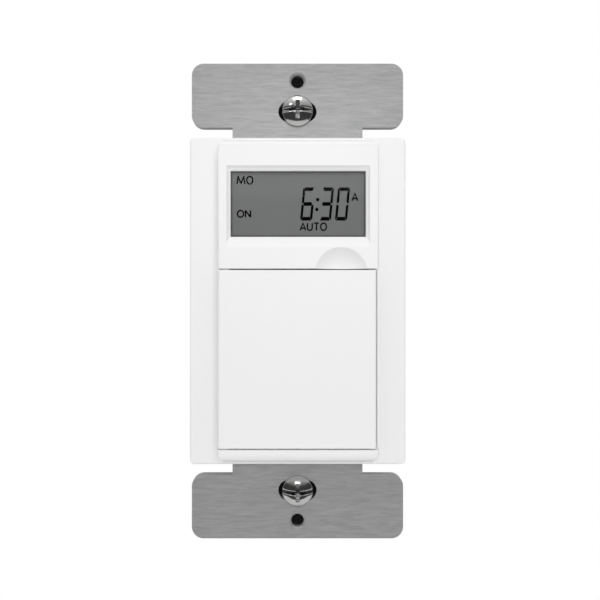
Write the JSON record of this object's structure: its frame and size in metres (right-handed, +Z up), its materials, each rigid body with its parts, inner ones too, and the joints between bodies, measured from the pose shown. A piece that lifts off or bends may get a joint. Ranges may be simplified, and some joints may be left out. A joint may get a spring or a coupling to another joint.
{
  "type": "timer light switch",
  "caption": "Wall-box timer light switch with a steel mounting strap, a display and a flip door over setting keys; pressing the closed door switches the light.",
  "frame": {"origin": "middle of the mounting strap, on its back face, which lies in the plane of the wall", "axes": "+Z up the wall, +X to the right as the user sees it, +Y into the wall; the front faces -Y"},
  "size_m": [0.0466, 0.0423, 0.1046],
  "materials": {
    "strap_steel": "brushed",
    "screw_steel": "polished zinc plate",
    "black_fibre": "matt",
    "white_plastic": "fine satin",
    "clear_window": "polished",
    "display_grey": "satin",
    "grey_plastic": "satin",
    "dark_plastic": "satin",
    "contact_rubber": "matt",
    "rear_plastic": "satin",
    "board_green": "satin",
    "cell_steel": "satin",
    "contact_brass": "satin",
    "relay_blue": "satin",
    "film_yellow": "satin",
    "sleeve_blue": "gloss",
    "varistor_orange": "gloss",
    "fuse_brown": "gloss"
  },
  "bodies": {
    "chassis": {"mounting_strap": "strap_steel", "screw_retainers": "black_fibre", "front_housing": "white_plastic", "display_window": "clear_window", "display_panel": "display_grey", "display_holder": "dark_plastic", "contact_strips": "contact_rubber", "push_switches": "dark_plastic", "control_board": "board_green", "microcontroller": "dark_plastic", "clock_crystal": "cell_steel", "backup_cell": "cell_steel", "cell_clip": "contact_brass", "rear_case": "rear_plastic", "case_screws": "screw_steel", "power_board": "board_green", "power_screws": "screw_steel", "relay": "relay_blue", "film_capacitor": "film_yellow", "electrolytic_capacitors": "sleeve_blue", "varistor": "varistor_orange", "fuse": "fuse_brown", "rectifier_diodes": "dark_plastic", "board_link": "dark_plastic", "lead_eyelets": "contact_brass"},
    "on_off": {"on_off_bar": "grey_plastic", "plunger_on_off": "dark_plastic"},
    "door": {"door": "white_plastic"},
    "day_key": {"key_day": "grey_plastic", "plunger_day": "dark_plastic"},
    "hour_key": {"key_hour": "grey_plastic", "plunger_hour": "dark_plastic"},
    "minute_key": {"key_minute": "grey_plastic", "plunger_minute": "dark_plastic"},
    "program_key": {"key_program": "grey_plastic", "plunger_program": "dark_plastic"},
    "clock_key": {"key_clock": "grey_plastic", "plunger_clock": "dark_plastic"},
    "mode_key": {"key_mode": "grey_plastic", "plunger_mode": "dark_plastic"},
    "reset_key": {"reset_button": "dark_plastic", "plunger_reset": "dark_plastic"},
    "top_screw": {"mounting_screw_top": "screw_steel"},
    "bottom_screw": {"mounting_screw_bottom": "screw_steel"}
  },
  "joints": [
    {"name": "on_off_press", "type": "slide", "parent": "chassis", "child": "on_off", "axis": [0, 1, 0], "range_m": [0, 0.0008], "stiffness_N_per_m": 600, "springref_m": -0.002},
    {"name": "door_hinge", "type": "hinge", "parent": "on_off", "child": "door", "pos_m": [-0.015, -0.0079, -0.01195], "axis": [0, 0, -1], "range_deg": [0, 115]},
    {"name": "day_press", "type": "slide", "parent": "chassis", "child": "day_key", "axis": [0, 1, 0], "range_m": [0, 0.0005], "stiffness_N_per_m": 300, "springref_m": -0.001},
    {"name": "hour_press", "type": "slide", "parent": "chassis", "child": "hour_key", "axis": [0, 1, 0], "range_m": [0, 0.0005], "stiffness_N_per_m": 300, "springref_m": -0.001},
    {"name": "minute_press", "type": "slide", "parent": "chassis", "child": "minute_key", "axis": [0, 1, 0], "range_m": [0, 0.0005], "stiffness_N_per_m": 300, "springref_m": -0.001},
    {"name": "program_press", "type": "slide", "parent": "chassis", "child": "program_key", "axis": [0, 1, 0], "range_m": [0, 0.0005], "stiffness_N_per_m": 300, "springref_m": -0.001},
    {"name": "clock_press", "type": "slide", "parent": "chassis", "child": "clock_key", "axis": [0, 1, 0], "range_m": [0, 0.0005], "stiffness_N_per_m": 300, "springref_m": -0.001},
    {"name": "mode_press", "type": "slide", "parent": "chassis", "child": "mode_key", "axis": [0, 1, 0], "range_m": [0, 0.0005], "stiffness_N_per_m": 300, "springref_m": -0.001},
    {"name": "reset_press", "type": "slide", "parent": "chassis", "child": "reset_key", "axis": [0, 1, 0], "range_m": [0, 0.0005], "stiffness_N_per_m": 300, "springref_m": -0.001},
    {"name": "top_screw_turn", "type": "hinge", "parent": "chassis", "child": "top_screw", "pos_m": [0, 0, 0.04167], "axis": [0, 1, 0], "continuous": true},
    {"name": "bottom_screw_turn", "type": "hinge", "parent": "chassis", "child": "bottom_screw", "pos_m": [0, 0, -0.04167], "axis": [0, 1, 0], "continuous": true}
  ]
}
